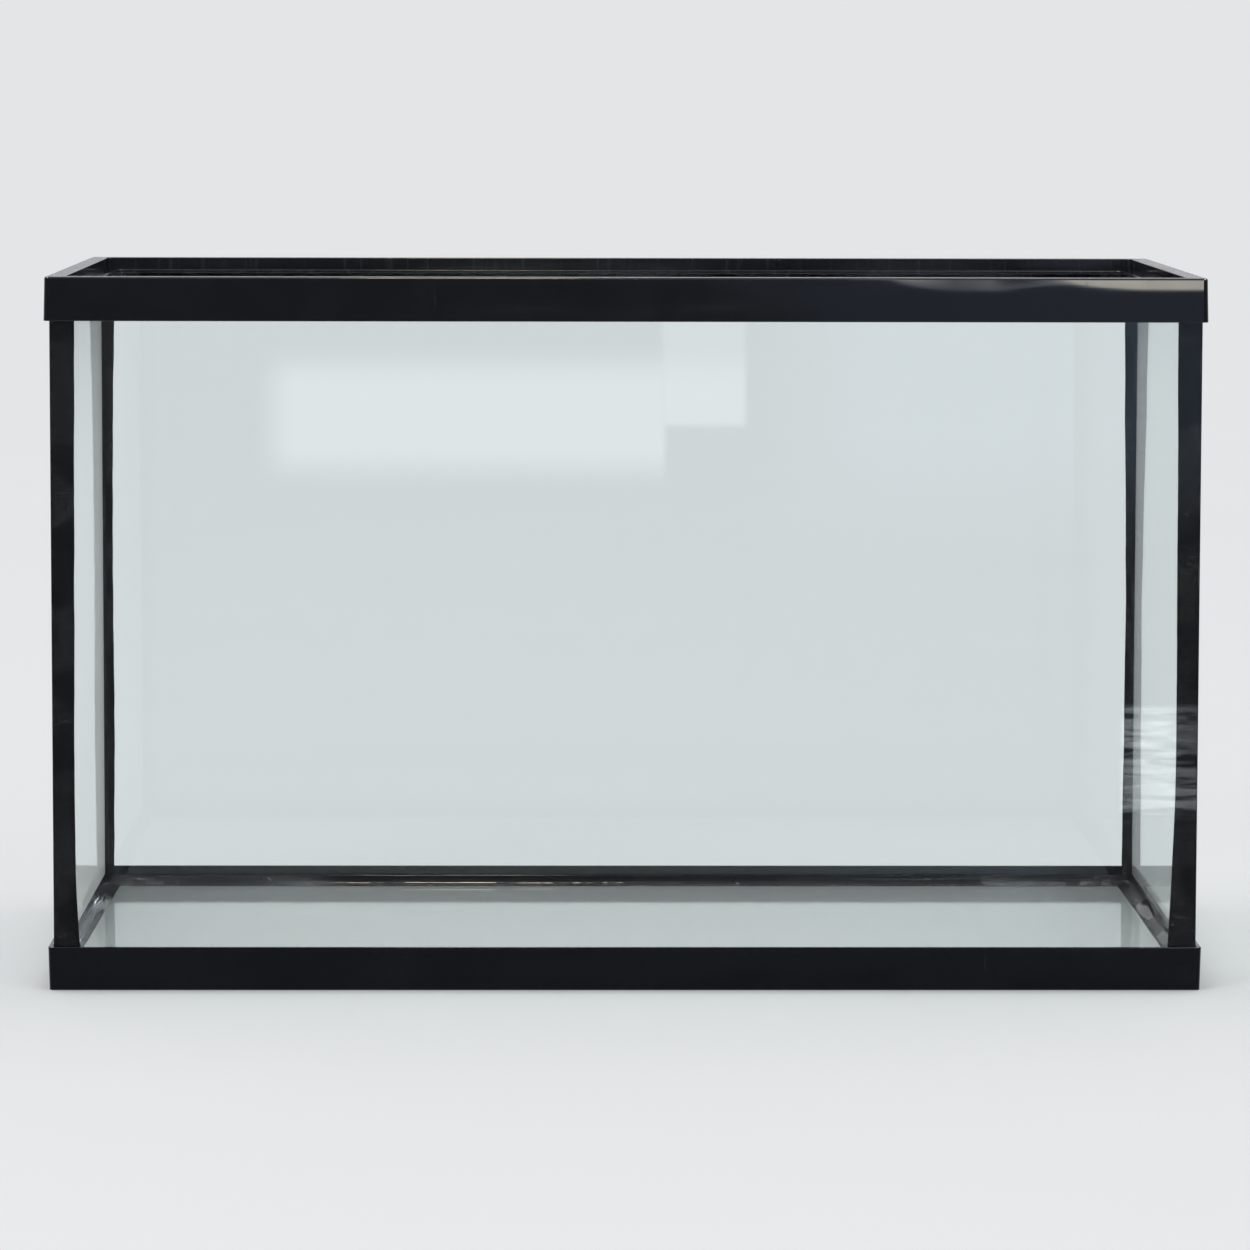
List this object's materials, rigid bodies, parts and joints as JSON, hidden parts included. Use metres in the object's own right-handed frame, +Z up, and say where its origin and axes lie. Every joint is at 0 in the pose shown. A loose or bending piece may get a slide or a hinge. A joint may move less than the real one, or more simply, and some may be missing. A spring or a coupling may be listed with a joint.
{
  "type": "glass aquarium tank",
  "caption": "Open-topped rectangular glass aquarium tank with black moulded rim and base frames and black silicone seams.",
  "frame": {"origin": "middle of the footprint, on the surface that the bottom frame's foot stands on", "axes": "+X to the right along the tank's length, +Y towards the back, +Z up through the open top"},
  "size_m": [0.5144, 0.2666, 0.3175],
  "materials": {
    "glass": "clear float glass",
    "frame_plastic": "semi-gloss black moulding",
    "silicone": "cured black silicone"
  },
  "bodies": {
    "root": {"front_pane": "glass", "back_pane": "glass", "left_end_pane": "glass", "right_end_pane": "glass", "floor_pane": "glass", "top_frame": "frame_plastic", "bottom_frame": "frame_plastic", "corner_bond_front_left": "silicone", "corner_bond_front_right": "silicone", "corner_bond_back_left": "silicone", "corner_bond_back_right": "silicone", "floor_bond_front": "silicone", "floor_bond_back": "silicone", "floor_bond_left": "silicone", "floor_bond_right": "silicone", "corner_fillet_front_left": "silicone", "corner_fillet_front_right": "silicone", "corner_fillet_back_left": "silicone", "corner_fillet_back_right": "silicone", "base_fillet_front": "silicone", "base_fillet_back": "silicone", "base_fillet_left": "silicone", "base_fillet_right": "silicone", "base_bedding_front": "silicone", "base_bedding_back": "silicone", "base_bedding_left": "silicone", "base_bedding_right": "silicone", "rim_bedding_front": "silicone", "rim_bedding_back": "silicone", "rim_bedding_left": "silicone", "rim_bedding_right": "silicone"}
  },
  "joints": []
}
